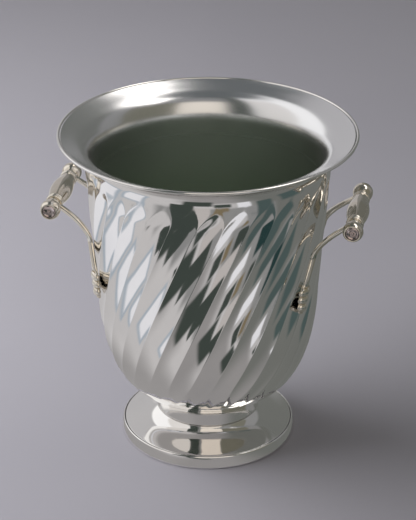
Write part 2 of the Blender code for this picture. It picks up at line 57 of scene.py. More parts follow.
# %% [markdown]
# ## Camera
#
# A long lens held high keeps the rim a calm oval and lets the eye look a little way into the
# bucket. A camera could be aimed by hand, but working its place out from an aim point, a
# distance and two angles makes each of them a value that can be nudged alone.

# %% Place the camera
AIM_HEIGHT = 142.2 * MM
CAMERA_DISTANCE = 1.526
CAMERA_TURN = math.radians(9.8)       # round to the right of the bucket's front
CAMERA_RISE = math.radians(26.17)     # above the table's level
CAMERA_LENS = 140.9

toward_camera = Vector((math.sin(CAMERA_TURN), -math.cos(CAMERA_TURN), 0))
camera_right = Vector((math.cos(CAMERA_TURN), math.sin(CAMERA_TURN), 0))
camera_back = toward_camera * math.cos(CAMERA_RISE) + Vector((0, 0, math.sin(CAMERA_RISE)))
camera = bpy.data.objects.new("camera", bpy.data.cameras.new("camera"))
camera.data.lens = CAMERA_LENS
camera.location = Vector((0, 0, AIM_HEIGHT)) + camera_back * CAMERA_DISTANCE
camera.rotation_euler = camera_back.to_track_quat("Z", "Y").to_euler()
scene.collection.objects.link(camera)
scene.camera = camera
print(f"camera {camera.location.z:.3f} m up")

# %% [markdown]
# ## Sizes
#
# Most sizes are read from the frame's own boxes, so a piece made here can't drift from the piece
# it stands for. What a box can't say, such as the radius of the waist or how full a curve is, is
# named here once, with the same values as the working model has.

# %% Read the sizes
GAP = 0.3 * MM
SHELL_WALL = 1.0 * MM
LINER_WALL = 1.0 * MM
LINER_AIR_GAP = 3.0 * MM
LIP_SLOPE = math.radians(30)
THROAT_RADIUS = 90.2 * MM
LIP_DROP = 23.8 * MM
THROAT_TAPER = 0.055
BELLY_RADIUS = 83.0 * MM
BELLY_RISE = 85.6 * MM
BELLY_TAPER = 0.05
BASE_SLOPE = math.radians(20)
LIP_PULL = 14.5 * MM
THROAT_PULL = 16.0 * MM
WALL_PULL = 42.0 * MM
BELLY_PULL = 66.0 * MM
BASE_PULL = 20.0 * MM
WIRE_RADIUS = 1.2 * MM

wire_low, wire_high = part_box("rim_wire")
wire_radius = (wire_high.z - wire_low.z) / 2
rim_height = (wire_high.z + wire_low.z) / 2
rim_radius = wire_high.x - WIRE_RADIUS
base_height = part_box("outer_shell")[0].z
collar_low, collar_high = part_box("neck_collar")
base_radius = collar_high.x
print(f"rim {2000 * rim_radius:.0f} mm across, base {2000 * base_radius:.1f} mm across")

# %% [markdown]
# ## Finishes
#
# Hand-polished silver is never one even mirror. It carries a slow wander of tone, softer and
# brighter patches, the faint ripple of beaten sheet and hairline scratches from years of cloths.
# A picture of scratches would need unwrapping, so noise read from the object's own coordinates is
# used instead, and it stays the right size on every piece.

# %% Helpers for finishes
def new_finish(name, metallic=1.0):
    """A Principled material, with its node tree and its shader."""
    finish = bpy.data.materials.new(name)
    finish.use_nodes = True
    shader = finish.node_tree.nodes["Principled BSDF"]
    shader.inputs["Metallic"].default_value = metallic
    return finish, finish.node_tree, shader


def grain(tree, size, detail=3.0, stretch=(1.0, 1.0, 1.0)):
    """Noise whose blotches are about size metres across, longer where stretch is above 1."""
    place = tree.nodes.new("ShaderNodeTexCoord")
    scale = tree.nodes.new("ShaderNodeMapping")
    scale.inputs["Scale"].default_value = [1 / (size * part) for part in stretch]
    noise = tree.nodes.new("ShaderNodeTexNoise")
    noise.inputs["Scale"].default_value = 1.0
    noise.inputs["Detail"].default_value = detail
    tree.links.new(place.outputs["Object"], scale.inputs["Vector"])
    tree.links.new(scale.outputs["Vector"], noise.inputs["Vector"])
    return noise.outputs["Fac"]


def spread(tree, value, low, high, start=0.3, end=0.7):
    """Stretch a noise value to run between low and high."""
    node = tree.nodes.new("ShaderNodeMapRange")
    node.inputs["From Min"].default_value = start
    node.inputs["From Max"].default_value = end
    node.inputs["To Min"].default_value = low
    node.inputs["To Max"].default_value = high
    tree.links.new(value, node.inputs["Value"])
    return node.outputs["Result"]


def two_tones(tree, share, first, second):
    """Blend two colours by a share from 0 to 1."""
    node = tree.nodes.new("ShaderNodeMix")
    node.data_type = "RGBA"
    node.inputs["A"].default_value = (*first, 1)
    node.inputs["B"].default_value = (*second, 1)
    tree.links.new(share, node.inputs["Factor"])
    return node.outputs["Result"]


def relief(tree, shader, layers):
    """Stack bump layers, each a noise value and its height in metres."""
    below = None
    for value, height in layers:
        bump = tree.nodes.new("ShaderNodeBump")
        bump.inputs["Strength"].default_value = 1.0
        bump.inputs["Distance"].default_value = height
        tree.links.new(value, bump.inputs["Height"])
        if below:
            tree.links.new(below, bump.inputs["Normal"])
        below = bump.outputs["Normal"]
    tree.links.new(below, shader.inputs["Normal"])


print("finish helpers ready")

# %% [markdown]
# ### Polished silver
#
# The body, wire and foot are buffed to a mirror. The ripple is only tens of microns high, yet it
# is what turns the straight edge of a window into the wavering leaf that marks real silver.

# %% Make the polished silver
SILVER_FRESH = (0.90, 0.885, 0.865)
SILVER_WORN = (0.83, 0.82, 0.81)
MIRROR_ROUGHNESS = (0.035, 0.085)
RIPPLE_SIZE = 17 * MM
RIPPLE_HEIGHT = 0.10 * MM
HAIRLINE_SIZE = 0.35 * MM
HAIRLINE_HEIGHT = 0.0012 * MM


def polished_silver():
    finish, tree, shader = new_finish("polished_silver")
    tone = spread(tree, grain(tree, 45 * MM), 0.0, 1.0)
    bloom = grain(tree, 6 * MM, detail=6.0)
    tree.links.new(two_tones(tree, tone, SILVER_FRESH, SILVER_WORN), shader.inputs["Base Color"])
    tree.links.new(spread(tree, bloom, *MIRROR_ROUGHNESS), shader.inputs["Roughness"])
    ripple = grain(tree, RIPPLE_SIZE, detail=1.5, stretch=(1.0, 1.0, 1.8))
    hairline = grain(tree, HAIRLINE_SIZE, detail=2.0, stretch=(1.0, 1.0, 14.0))
    relief(tree, shader, [(ripple, RIPPLE_HEIGHT), (hairline, HAIRLINE_HEIGHT)])
    return finish


polished = polished_silver()
print("polished silver: mirror with a slow ripple")

# %% [markdown]
# ### Satin liner
#
# The inside was finished on the lathe, so it has fine rings all the way round and blurs what it
# reflects into soft streaks. Noise read against radius and height alone gives the rings, and an
# anisotropic shader with its tangent round the axis gives the streaks. The lip is wiped often and
# is nearly a mirror, while the deep part stays dull, so the roughness follows the height. The
# colour darkens and turns greenish towards the deep part, which is painted shade.

# %% Make the satin silver
LATHE_LINE = 0.45 * MM
LATHE_HEIGHT = 0.0006 * MM
# darker, greenish colour of the deep part: painted shade
SATIN_DEEP_PAINTED_SHADE = (0.55, 0.615, 0.535)
SATIN_LIP = (0.80, 0.80, 0.81)
DEEP_FROM = 75 * MM                   # below the rim
LIP_FROM = 10 * MM
DEEP_ROUGHNESS = 0.36
LIP_ROUGHNESS = 0.17
LINE_ROUGHNESS = 0.06                 # what a lathe line adds at most


def math_node(tree, operation, first, second):
    """A math node of the given operation on two numbers or sockets."""
    node = tree.nodes.new("ShaderNodeMath")
    node.operation = operation
    for socket, value in zip(node.inputs, (first, second)):
        if isinstance(value, (int, float)):
            socket.default_value = value
        else:
            tree.links.new(value, socket)
    return node.outputs["Value"]


def satin_silver():
    finish, tree, shader = new_finish("satin_liner")
    place = tree.nodes.new("ShaderNodeTexCoord")
    split = tree.nodes.new("ShaderNodeSeparateXYZ")
    flat = tree.nodes.new("ShaderNodeCombineXYZ")
    radius = tree.nodes.new("ShaderNodeVectorMath")
    radius.operation = "LENGTH"
    rings_at = tree.nodes.new("ShaderNodeCombineXYZ")
    lathe = tree.nodes.new("ShaderNodeTexNoise")
    lathe.inputs["Scale"].default_value = 1 / LATHE_LINE
    lathe.inputs["Detail"].default_value = 4.0
    tree.links.new(place.outputs["Object"], split.inputs["Vector"])
    tree.links.new(split.outputs["X"], flat.inputs["X"])
    tree.links.new(split.outputs["Y"], flat.inputs["Y"])
    tree.links.new(flat.outputs["Vector"], radius.inputs[0])
    tree.links.new(radius.outputs["Value"], rings_at.inputs["X"])
    tree.links.new(split.outputs["Z"], rings_at.inputs["Y"])
    tree.links.new(rings_at.outputs["Vector"], lathe.inputs["Vector"])
    deep, lip = rim_height - DEEP_FROM, rim_height - LIP_FROM
    near_lip = spread(tree, split.outputs["Z"], 0.0, 1.0, start=deep, end=lip)
    # painted shade: the colour darkens and turns greenish from the lip down into the deep part
    tree.links.new(two_tones(tree, near_lip, SATIN_DEEP_PAINTED_SHADE, SATIN_LIP), shader.inputs["Base Color"])
    dull = spread(tree, near_lip, DEEP_ROUGHNESS, LIP_ROUGHNESS, start=0.0, end=1.0)
    lines = math_node(tree, "MULTIPLY", lathe.outputs["Fac"], LINE_ROUGHNESS)
    tree.links.new(math_node(tree, "ADD", dull, lines), shader.inputs["Roughness"])
    shader.inputs["Anisotropic"].default_value = 0.35
    tangent = tree.nodes.new("ShaderNodeTangent")
    tangent.direction_type = "RADIAL"
    tangent.axis = "Z"
    tree.links.new(tangent.outputs["Tangent"], shader.inputs["Tangent"])
    wave = grain(tree, 30 * MM, detail=1.0)
    relief(tree, shader, [(wave, 0.25 * MM), (lathe.outputs["Fac"], LATHE_HEIGHT)])
    return finish


satin = satin_silver()
print("satin silver: lathe rings", 1000 * LATHE_LINE, "mm apart")

# %% [markdown]
# ### Cast silver
#
# The handles are castings, polished by hand. They are a little warmer than the sheet, the corners
# are rubbed bright and a brown film of tarnish stays in the hollows, darkened further there as
# painted shade. Pointiness, the measure of how far a spot stands out of its surroundings, tells
# the two apart.

# %% Make the cast silver
# brown tarnish in the hollows, darkened further as painted shade
CAST_HOLLOW_TARNISH_AND_SHADE = (0.40, 0.33, 0.23)
CAST_CORNER = (0.84, 0.80, 0.73)
CAST_BLUSH = (0.62, 0.53, 0.38)
CAST_ROUGHNESS = (0.05, 0.14)


def cast_silver():
    finish, tree, shader = new_finish("cast_silver")
    geometry = tree.nodes.new("ShaderNodeNewGeometry")
    # pointiness mask: worn corners stay bright, hollows take tarnish and painted shade
    corner_wear_and_hollow_shade = spread(tree, geometry.outputs["Pointiness"], 0.0, 1.0, start=0.44, end=0.52)
    tarnish_and_painted_shade = two_tones(tree, corner_wear_and_hollow_shade, CAST_HOLLOW_TARNISH_AND_SHADE, CAST_CORNER)
    blush = spread(tree, grain(tree, 9 * MM), 0.0, 0.35)
    mix = tree.nodes.new("ShaderNodeMix")
    mix.data_type = "RGBA"
    mix.inputs["B"].default_value = (*CAST_BLUSH, 1)
    tree.links.new(blush, mix.inputs["Factor"])
    tree.links.new(tarnish_and_painted_shade, mix.inputs["A"])
    tree.links.new(mix.outputs["Result"], shader.inputs["Base Color"])
    haze = spread(tree, grain(tree, 3 * MM, detail=5.0), *CAST_ROUGHNESS)
    tree.links.new(haze, shader.inputs["Roughness"])
    skin = grain(tree, 4 * MM, detail=2.0)
    pores = grain(tree, 0.4 * MM, detail=3.0)
    relief(tree, shader, [(skin, 0.06 * MM), (pores, 0.003 * MM)])
    return finish


cast = cast_silver()
print("cast silver: bright corners, brown hollows")

# %% [markdown]
# ### Hidden metals and the cork seat
#
# The bolt and nut are plain steel with tool marks and stain. The clamp plate, the tie rods and
# the little buttons in the finials are brass with what is left of a thin silver plating, and that
# reads as a rosy grey. The liner rests on a cork ring, whose dark flecks are a cell pattern.

# %% Make the fittings' finishes
def plain_metal(name, clean, stained, roughness):
    finish, tree, shader = new_finish(name)
    stain = spread(tree, grain(tree, 5 * MM, detail=5.0), 0.0, 1.0)
    tree.links.new(two_tones(tree, stain, clean, stained), shader.inputs["Base Color"])
    tree.links.new(spread(tree, grain(tree, 1.5 * MM), *roughness), shader.inputs["Roughness"])
    relief(tree, shader, [(grain(tree, 0.3 * MM, stretch=(1.0, 8.0, 1.0)), 0.006 * MM)])
    return finish


def cork_sheet():
    finish, tree, shader = new_finish("cork_seat", metallic=0.0)
    place = tree.nodes.new("ShaderNodeTexCoord")
    cells = tree.nodes.new("ShaderNodeTexVoronoi")
    cells.inputs["Scale"].default_value = 1 / (1.6 * MM)
    tree.links.new(place.outputs["Object"], cells.inputs["Vector"])
    fleck = spread(tree, cells.outputs["Distance"], 0.0, 1.0, start=0.1, end=0.6)
    tone = two_tones(tree, fleck, (0.50, 0.33, 0.18), (0.24, 0.13, 0.06))
    tree.links.new(tone, shader.inputs["Base Color"])
    shader.inputs["Roughness"].default_value = 0.85
    relief(tree, shader, [(cells.outputs["Distance"], 0.1 * MM)])
    return finish


brass = plain_metal("brass_backing", (0.66, 0.57, 0.56), (0.40, 0.33, 0.31), (0.05, 0.12))
steel = plain_metal("steel_fixing", (0.56, 0.56, 0.57), (0.36, 0.35, 0.34), (0.28, 0.45))
cork = cork_sheet()
print("brass, steel and cork ready")

# %% [markdown]
# ## Helpers for shapes
#
# Nearly every piece of a bucket is turned: one outline spun round an axis. The outline is built
# from curves, its hard corners are eased by a fraction of a millimetre so that they catch a line
# of light, and then it is spun in enough steps for a mirror finish.

# %% Helpers for outlines
SMOOTH_ANGLE = math.radians(38)
EASE_ANGLE = math.radians(22)
EASE_STEPS = 3
EASE_LIMIT = 0.45                     # of the shorter side, so that two eased corners never meet


def bend(start, start_pull, end_pull, end, steps):
    """Bezier stretch of an outline, as (radius, height) points with both ends."""
    points = interpolate_bezier(Vector(start), Vector(start) + Vector(start_pull),
                                Vector(end) + Vector(end_pull), Vector(end), steps + 1)
    return [Vector((point.x, point.y)) for point in points]


def arc(radius, start, end, steps):
    """Round stretch about the origin. Angles are measured from the axis, 0 at the top."""
    angles = [start + (end - start) * step / steps for step in range(steps + 1)]
    return [Vector((radius * math.sin(a), radius * math.cos(a))) for a in angles]


def outward(points):
    """Unit normals of a line that runs from the rim down, pointing away from the bucket."""
    ends = [(points[max(i - 1, 0)], points[min(i + 1, len(points) - 1)]) for i in range(len(points))]
    runs = [(after - before).normalized() for before, after in ends]
    return [Vector((-run.y, run.x)) for run in runs]


def eased(outline, radius):
    """Round off each hard corner of a closed outline."""
    made = []
    for index, corner in enumerate(outline):
        arriving = corner - outline[index - 1]
        leaving = outline[(index + 1) % len(outline)] - corner
        if corner.x < GAP / 10 or arriving.angle(leaving, 0.0) < EASE_ANGLE:
            made.append(corner)
            continue
        cut = min(radius, arriving.length * EASE_LIMIT, leaving.length * EASE_LIMIT)
        start = corner - arriving.normalized() * cut
        end = corner + leaving.normalized() * cut
        for step in range(EASE_STEPS + 1):
            share = step / EASE_STEPS
            made.append(start.lerp(corner, share).lerp(corner.lerp(end, share), share))
    return made


def ramp(value, start, end):
    """0 at start and 1 at end, with soft turns at both."""
    share = min(max((value - start) / (end - start), 0.0), 1.0)
    return share * share * (3 - 2 * share)


print("outline helpers ready")

# %% [markdown]
# Every piece then goes the same way: close its mesh, face it outwards, smooth it except at true
# corners, and tell the frame which node it stands for. One helper does all of that, so no piece
# can miss a step.

# %% Helpers for pieces
ROUND_LARGE = 192
ROUND_MEDIUM = 96
ROUND_TINY = 48
WELD = 0.002 * MM


def add_piece(node, bm, finish):
    """Turn a bmesh into the shown piece that stands for a CAD node."""
    bmesh.ops.remove_doubles(bm, verts=bm.verts, dist=WELD)
    bmesh.ops.recalc_face_normals(bm, faces=bm.faces)
    if bm.calc_volume(signed=True) < 0:
        bmesh.ops.reverse_faces(bm, faces=bm.faces)
    mesh = bpy.data.meshes.new(node + "_fine")
    bm.to_mesh(mesh)
    bm.free()
    mesh.shade_smooth()
    mesh.set_sharp_from_angle(angle=SMOOTH_ANGLE)
    mesh.materials.append(finish)
    piece = bpy.data.objects.new(node + "_fine", mesh)
    scene.collection.objects.link(piece)
    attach(piece, "root")
    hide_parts(node)
    print(f"{node}: {len(mesh.polygons)} faces")
    return piece


def turned(outline, steps):
    """Spin a closed outline of (radius, height) points once round Z."""
    bm = bmesh.new()
    points = [bm.verts.new((point.x, 0, point.y)) for point in outline]
    edges = [bm.edges.new((points[i - 1], points[i])) for i in range(len(points))]
    bmesh.ops.spin(bm, geom=points + edges, cent=(0, 0, 0), axis=(0, 0, 1), angle=math.tau,
                   steps=steps, use_duplicate=False)
    return bm


def bridge(bm, upper, lower):
    """Join two rings of corners with a band of faces."""
    for index in range(len(upper)):
        bm.faces.new((upper[index - 1], lower[index - 1], lower[index], upper[index]))


print("piece helpers ready")

# %% [markdown]
# ## The line of the wall
#
# One line, from the lip through the throat and the belly to the base, shapes the shell. The liner
# follows the same line from inside. Three Bezier stretches are enough, because their ends share
# a direction, so the line never kinks.

# %% Draw the wall's line
def wall_line(steps):
    """Outer line of the shell over its ridges. steps are those of the lip, wall and bowl."""
    along_lip = Vector((math.cos(LIP_SLOPE), math.sin(LIP_SLOPE)))
    below_lip = Vector((math.sin(LIP_SLOPE), -math.cos(LIP_SLOPE)))
    half_stack = (SHELL_WALL + GAP + LINER_WALL) / 2
    edge_gap = WIRE_RADIUS + GAP
    lip = Vector((rim_radius, rim_height)) - along_lip * edge_gap + below_lip * half_stack
    throat = Vector((THROAT_RADIUS, rim_height - LIP_DROP))
    belly = Vector((BELLY_RADIUS, base_height + BELLY_RISE))
    base = Vector((base_radius, base_height))
    up_throat = Vector((THROAT_TAPER, 1.0))
    up_belly = Vector((BELLY_TAPER, 1.0))
    out_base = Vector((math.cos(BASE_SLOPE), math.sin(BASE_SLOPE)))
    flare = bend(lip, along_lip * -LIP_PULL, up_throat * THROAT_PULL, throat, steps[0])
    wall = bend(throat, up_throat * -WALL_PULL, up_belly * WALL_PULL, belly, steps[1])
    bowl = bend(belly, up_belly * -BELLY_PULL, out_base * BASE_PULL, base, steps[2])
    return flare + wall[1:] + bowl[1:]


WALL_STEPS = (16, 60, 84)
wall = wall_line(WALL_STEPS)
print(f"wall line: {len(wall)} points, {1000 * wall[-1].x:.1f} mm radius at the base")

# %% [markdown]
# ## Outer shell with twisted flutes
#
# The flutes were pressed into the sheet over a former: shallow scoops that meet in crisp ridges
# and lean steadily as they go down. A displaced cylinder would smear the ridges, so every ring
# of corners is turned a little further than the one above. That way a column of corners runs
# along each ridge, and the columns crowd towards the ridges, where the metal bends sharply.

# %% Build the outer shell
FLUTE_COUNT = 30
FLUTE_DEPTH = 1.5 * MM
FLUTE_LEAN = math.radians(23.5)
FLUTE_THROAT_ANGLE = math.radians(8.4)
FLUTE_TOP_DROP = 20.8 * MM
FLUTE_RUN_IN = 18.0 * MM
FLUTE_END_RISE = 9.0 * MM
FLUTE_RUN_OUT = 33.0 * MM
FLUTE_COLUMNS = 26
RIDGE_SOFTNESS = 0.04
INSIDE_SINK = 0.8                     # of the flutes' depth, which the plain inside clears
INSIDE_SKIP = 8                       # the inside is hidden and takes every eighth ring


def flute_turns(line, throat_index):
    """Angle of the first ridge at each point of the line."""
    turns = [0.0]
    for upper, lower in zip(line, line[1:]):
        step = (lower - upper).length * math.tan(FLUTE_LEAN) / ((upper.x + lower.x) / 2)
        turns.append(turns[-1] - step)
    return [turn - turns[throat_index] + FLUTE_THROAT_ANGLE for turn in turns]


def flute_depth(height, across):
    """Depth below the ridges. across is -1 and 1 at the ridges and 0 midway."""
    top = rim_height - FLUTE_TOP_DROP
    end = base_height + FLUTE_END_RISE
    strength = ramp(height, top, top - FLUTE_RUN_IN) * ramp(height, end, end + FLUTE_RUN_OUT)
    scoop = max(strength - across * across, 0.0)
    return FLUTE_DEPTH * scoop * scoop / (scoop + RIDGE_SOFTNESS)


def ring_at(bm, radii, angles, heights):
    """A ring of corners round the bucket's axis."""
    places = zip(radii, angles, heights)
    return [bm.verts.new((r * math.cos(a), r * math.sin(a), h)) for r, a, h in places]


def build_shell():
    """Fluted rings on the outside, then plain rings back up the inside."""
    turns = flute_turns(wall, WALL_STEPS[0])
    columns = [(flute, math.sin(math.pi * (column / FLUTE_COLUMNS - 0.5)))
               for flute in range(FLUTE_COUNT) for column in range(FLUTE_COLUMNS)]
    bm = bmesh.new()
    rings = []
    for point, normal, turn in zip(wall, outward(wall), turns):
        angles = [turn + math.tau * (flute + across / 2) / FLUTE_COUNT for flute, across in columns]
        places = [point - normal * flute_depth(point.y, across) for flute, across in columns]
        rings.append(ring_at(bm, [p.x for p in places], angles, [p.y for p in places]))
    inside = []
    for point, normal, turn in zip(wall, outward(wall), turns):
        sink = SHELL_WALL + FLUTE_DEPTH * INSIDE_SINK * ramp(point.y, rim_height, rim_height - LIP_DROP)
        inside.append((point - normal * sink, turn))
    inside[-1][0].y = base_height + SHELL_WALL
    bolt_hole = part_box("foot_bolt")[1].x / 2 + GAP
    base_heights = (base_height, base_height + SHELL_WALL)
    base = [(Vector((bolt_hole, height)), turns[-1]) for height in base_heights]
    for point, turn in base + inside[::-INSIDE_SKIP]:
        angles = [turn + math.tau * (flute + across / 2) / FLUTE_COUNT for flute, across in columns]
        rings.append(ring_at(bm, [point.x] * len(columns), angles, [point.y] * len(columns)))
    for upper, lower in zip(rings, rings[1:] + rings[:1]):
        bridge(bm, upper, lower)
    return add_piece("outer_shell", bm, polished)


build_shell()

# %% [markdown]
# ## Liner and rim wire
#
# The liner is spun from flat sheet and hangs from the lip, so a gap of air stays behind the
# flutes. A solid bucket would look the same from outside, but a real one is two skins, and the
# wire round the rim is what joins and hides their edges.

# %% Build the liner and the rim wire
WIRE_STEPS = 20


def liner_outline():
    """The wall's line moved inwards, closed by a flat floor."""
    outer = []
    for point, normal in zip(wall, outward(wall)):
        hang = ramp(point.y, rim_height, rim_height - LIP_DROP)
        stand_off = GAP + hang * (LINER_AIR_GAP + FLUTE_DEPTH - GAP)
        outer.append(point - normal * (SHELL_WALL + stand_off))
    inner = [point - normal * LINER_WALL for point, normal in zip(outer, outward(outer))]
    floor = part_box("inner_liner")[0].z
    outer[-1].y = floor
    inner[-1].y = floor + LINER_WALL
    return outer + [Vector((0, floor)), Vector((0, floor + LINER_WALL))] + inner[::-1]


def wire_outline():
    middle = Vector((rim_radius, rim_height))
    angles = [math.tau * step / WIRE_STEPS for step in range(WIRE_STEPS)]
    return [middle + Vector((wire_radius * math.cos(a), wire_radius * math.sin(a))) for a in angles]


add_piece("inner_liner", turned(liner_outline(), ROUND_LARGE), satin)
add_piece("rim_wire", turned(wire_outline(), ROUND_LARGE), polished)

# %% [markdown]
# ## Foot
#
# Under the base come a short collar, a trumpet-shaped dome and an upright band. Each is a turned
# piece of its own, and the fine dark lines between them are what tells the eye that the foot was
# put together and not cast in one.

# %% Build the collar, the dome and the band
DOME_LEDGE = 0.9 * MM
DOME_WALL = 1.2 * MM
DOME_NECK_PULL = 10.0 * MM
DOME_NECK_SPREAD = 0.84
DOME_EDGE_PULL = 12.0 * MM
DOME_EDGE_SLOPE = math.radians(16)
DOME_STEPS = 28
BAND_FLARE = 1.9 * MM
BAND_WALL = 1.3 * MM
BAND_STAND = 2.6 * MM
BAND_EDGE = 0.5 * MM
COLLAR_WALL = 2.0 * MM
COLLAR_WAIST = 0.7 * MM
COLLAR_STEPS = 14
PLATE_LAP = 8.0 * MM                  # how far the clamp plate reaches under the dome's top
SEAM = 0.22 * MM                      # what solder fills of each gap between two pieces of the foot

band_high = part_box("foot_band")[1]
foot_radius = band_high.x
band_height = band_high.z
dome_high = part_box("foot_dome")[1]


def collar_outline():
    """A short tube, drawn in a little at its waist."""
    low = Vector((base_radius, collar_low.z - SEAM))
    high = Vector((base_radius, collar_high.z + SEAM))
    pull = Vector((-COLLAR_WAIST, (high - low).y / 3))
    outer = bend(high, Vector((pull.x, -pull.y)), pull, low, COLLAR_STEPS)
    inner = base_radius - COLLAR_WALL
    return outer + [Vector((inner, low.y)), Vector((inner, high.y))]


def dome_outline():
    """A bell sweep from the collar down to the band, with an even wall behind it."""
    top = dome_high.z
    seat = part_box("foot_clamp_plate")[1].x - PLATE_LAP
    neck = Vector((base_radius + DOME_LEDGE, top - BAND_EDGE))
    edge = Vector((foot_radius - BAND_FLARE - BAND_WALL - GAP + SEAM, band_height))
    up_edge = Vector((-math.cos(DOME_EDGE_SLOPE), math.sin(DOME_EDGE_SLOPE)))
    down_neck = Vector((DOME_NECK_SPREAD, -1)).normalized()
    sweep = bend(neck, down_neck * DOME_NECK_PULL, up_edge * DOME_EDGE_PULL, edge, DOME_STEPS)
    under = [point - normal * DOME_WALL for point, normal in zip(sweep, outward(sweep))]
    under[0] = Vector((base_radius, top - DOME_WALL))
    return ([Vector((seat, top)), Vector((neck.x - BAND_EDGE, top))] + sweep + under[::-1]
            + [Vector((seat, top - DOME_WALL))])


def band_outline():
    """An upright band that spreads a little towards the table."""
    top = foot_radius - BAND_FLARE
    inner = top - BAND_WALL
    return [
        Vector((inner + BAND_EDGE, band_height)),
        Vector((top - BAND_EDGE, band_height)),
        Vector((top, band_height - BAND_EDGE)),
        Vector((foot_radius, BAND_EDGE)),
        Vector((foot_radius - BAND_EDGE, 0)),
        Vector((foot_radius - BAND_STAND, 0)),
        Vector((inner, band_height - BAND_WALL)),
    ]


FOOT_PIECES = {
    "neck_collar": (collar_outline(), 0.4 * MM),
    "foot_dome": (dome_outline(), 0.3 * MM),
    "foot_band": (band_outline(), 0.4 * MM),
}
for node, (outline, edge) in FOOT_PIECES.items():
    add_piece(node, turned(eased(outline, edge), ROUND_LARGE), polished)

# %% [markdown]
# ## Handles
#
# Each handle is a row of turned pieces threaded on one rod: a barrel grip, a pair of small rings
# at each end, the eyes of the two arms and a ball finial with a little button let into its face.
# They are made lying along Y and are placed from the frame's boxes, so one set of outlines
# serves both sides and both ends.

# %% Measure the handles
FINIAL_FACE_RADIUS = 6.0 * MM
FINIAL_BEZEL = 0.9 * MM
FINIAL_RECESS = 1.6 * MM
GRIP_END_RADIUS = 5.9 * MM
RING_GROOVE = 0.8 * MM

grip_low, grip_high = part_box("right_grip")
grip_radius = (grip_high.z - grip_low.z) / 2
grip_half = grip_high.y
handle_height = (grip_high.z + grip_low.z) / 2
handle_reach = (grip_high.x + grip_low.x) / 2
rod_low, rod_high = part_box("right_tie_rod")
bore = (rod_high.x - rod_low.x) / 2 + GAP
ring_low, ring_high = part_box("right_ring_back")
ring_radius = (ring_high.x - ring_low.x) / 2
finial_low, finial_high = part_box("right_finial_back")
finial_radius = (finial_high.x - finial_low.x) / 2
button_low, button_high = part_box("right_button_back")
finial_face = math.sqrt(finial_radius ** 2 - FINIAL_FACE_RADIUS ** 2)
finial_middle = finial_high.y - finial_face
print(f"grip {2000 * grip_half:.1f} mm long, {1000 * handle_reach:.1f} mm from the axis")

# %% [markdown]
# The swell of the grip is a cosine raised to a power, which stays slim near the ends and fills out
# in the middle as a turned grip does. The finial is an arc with a flat recess, and the button in
# it is two small Bezier curves: a dish and a pip.

# %% Build the turned pieces of the handles
GRIP_STEPS = 48
GRIP_FULLNESS = 1.5
GRIP_BEAD = 1.6 * MM
GRIP_BEAD_RISE = 0.35 * MM
RING_BEADS = 2
RING_STEPS = 9
BALL_STEPS = 30


def grip_outline():
    """A barrel that swells from its ends to its middle, with a fine bead at each end."""
    outer = []
    for step in range(GRIP_STEPS + 1):
        along = (2 * step / GRIP_STEPS - 1) * grip_half
        swell = math.cos(along / grip_half * math.pi / 2) ** GRIP_FULLNESS
        bead = max(0.0, 1 - ((grip_half - abs(along)) / GRIP_BEAD - 0.5) ** 2 * 4)
        radius = GRIP_END_RADIUS + (grip_radius - GRIP_END_RADIUS) * swell + GRIP_BEAD_RISE * bead
        outer.append(Vector((radius, along)))
    return [Vector((bore, -grip_half))] + outer + [Vector((bore, grip_half))]


def ring_outline():
    """Two round beads side by side."""
    length = (ring_high.y - ring_low.y) / RING_BEADS
    outer = []
    for bead in range(RING_BEADS):
        for step in range(RING_STEPS + 1):
            share = step / RING_STEPS
            round_off = math.sqrt(max(0.0, 1 - (2 * share - 1) ** 2))
            radius = ring_radius - RING_GROOVE * (1 - round_off)
            outer.append(Vector((radius, ring_low.y + length * (bead + share))))
    return [Vector((bore, ring_low.y))] + outer + [Vector((bore, ring_high.y))]


def finial_outline():
    """A ball with a short neck behind and a recessed face in front."""
    neck = math.sqrt(finial_radius ** 2 - (finial_middle - finial_low.y) ** 2)
    ball = arc(finial_radius, math.pi - math.asin(neck / finial_radius),
               math.asin(FINIAL_FACE_RADIUS / finial_radius), BALL_STEPS)
    inner_face = FINIAL_FACE_RADIUS - FINIAL_BEZEL
    recess = finial_face - FINIAL_RECESS
    behind = [Vector((bore, 0)), Vector((bore, finial_low.y - finial_middle))]
    face = [Vector((inner_face, finial_face)), Vector((inner_face, recess))]
    outline = [*behind, *ball, *face, Vector((0, recess)), Vector((0, 0))]
    return [Vector((point.x, point.y + finial_middle)) for point in outline]


def button_outline():
    """A dished disc with a pip in its middle."""
    radius = (button_high.x - button_low.x) / 2
    low = button_low.y
    rise = button_high.y - low
    rim = [Vector((radius, low + rise * 0.5)), Vector((radius * 0.86, low + rise * 0.72))]
    dish = bend(rim[-1], Vector((-radius * 0.2, -rise * 0.35)), Vector((radius * 0.2, 0)),
                Vector((radius * 0.24, low + rise * 0.36)), 8)
    pip = bend(dish[-1], Vector((0, rise * 0.5)), Vector((radius * 0.14, 0)), Vector((0, low + rise)), 8)
    return [Vector((0, low)), Vector((radius, low))] + rim + dish[1:] + pip[1:]


def lay_along_handle(bm, side, end):
    """Lay a piece made round Z along a handle, pointing to the back or to the front."""
    flip = Matrix.Rotation(-math.pi / 2 * end, 4, "X")
    place = Matrix.Translation((side * handle_reach, 0, handle_height))
    bmesh.ops.transform(bm, matrix=place @ flip, verts=bm.verts)
    return bm


